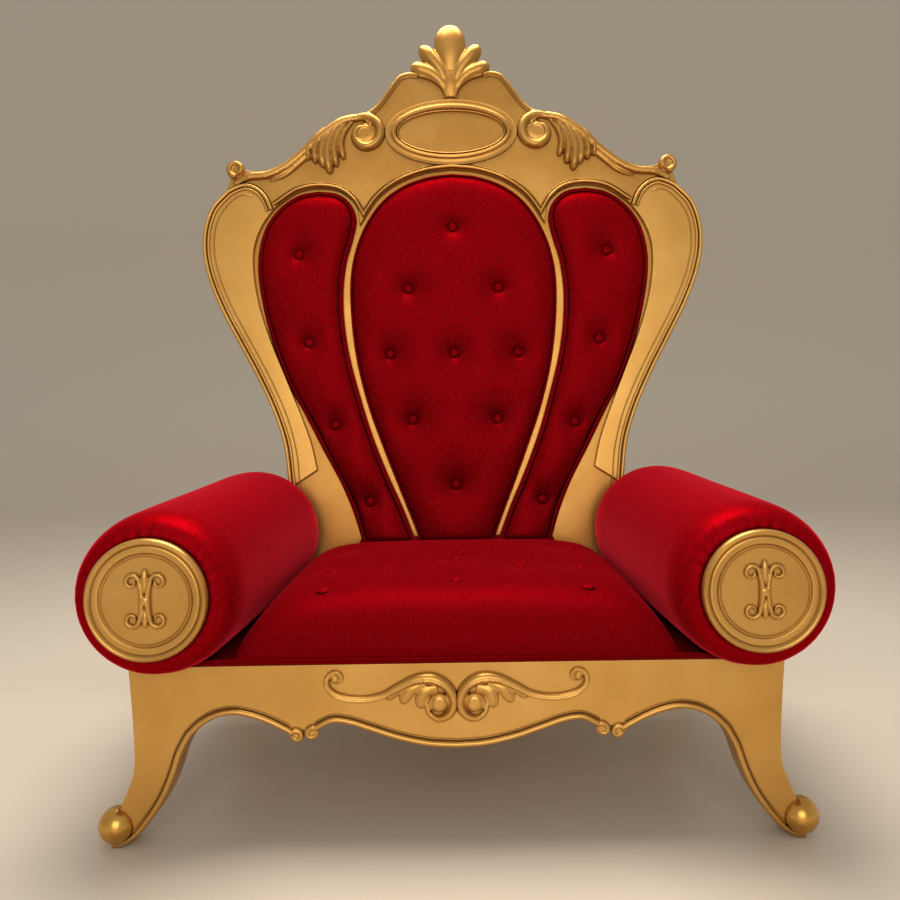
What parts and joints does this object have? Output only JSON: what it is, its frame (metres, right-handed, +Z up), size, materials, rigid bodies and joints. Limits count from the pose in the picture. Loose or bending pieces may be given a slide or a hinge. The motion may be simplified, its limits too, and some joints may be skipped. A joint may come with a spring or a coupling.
{
  "type": "throne",
  "caption": "Carved gilt throne with a high leaning back, tufted red velvet pads, a deep seat cushion and round bolster arms.",
  "frame": {"origin": "centre of the footprint, on the floor under the feet", "axes": "+X to the right as seen from the front, -Y towards the sitter's feet (the front), +Z up"},
  "size_m": [1.3064, 0.9019, 1.7863],
  "materials": {
    "gilt_wood": "satin",
    "foot_ball": "polished",
    "velvet": "matte",
    "button": "matte"
  },
  "bodies": {
    "root": {"front_apron": "gilt_wood", "rear_apron": "gilt_wood", "side_rail_left": "gilt_wood", "side_rail_right": "gilt_wood", "seat_deck": "gilt_wood", "back_board": "gilt_wood", "crest": "gilt_wood", "ear_left": "gilt_wood", "ear_right": "gilt_wood", "medallion_left": "gilt_wood", "medallion_right": "gilt_wood", "foot_ball_left": "foot_ball", "foot_ball_right": "foot_ball", "back_panel_center": "velvet", "back_panel_left": "velvet", "back_panel_right": "velvet", "seat_cushion": "velvet", "bolster_left": "velvet", "bolster_right": "velvet", "back_button_center_1": "button", "back_button_center_2": "button", "back_button_center_3": "button", "back_button_center_4": "button", "back_button_center_5": "button", "back_button_center_6": "button", "back_button_center_7": "button", "back_button_center_8": "button", "back_button_center_9": "button", "back_button_left_1": "button", "back_button_left_2": "button", "back_button_left_3": "button", "back_button_left_4": "button", "back_button_right_1": "button", "back_button_right_2": "button", "back_button_right_3": "button", "back_button_right_4": "button", "seat_button_1": "button", "seat_button_2": "button", "seat_button_3": "button", "seat_button_4": "button", "seat_button_5": "button", "seat_button_6": "button", "seat_button_7": "button", "seat_button_8": "button", "seat_button_9": "button", "seat_button_10": "button"}
  },
  "joints": []
}
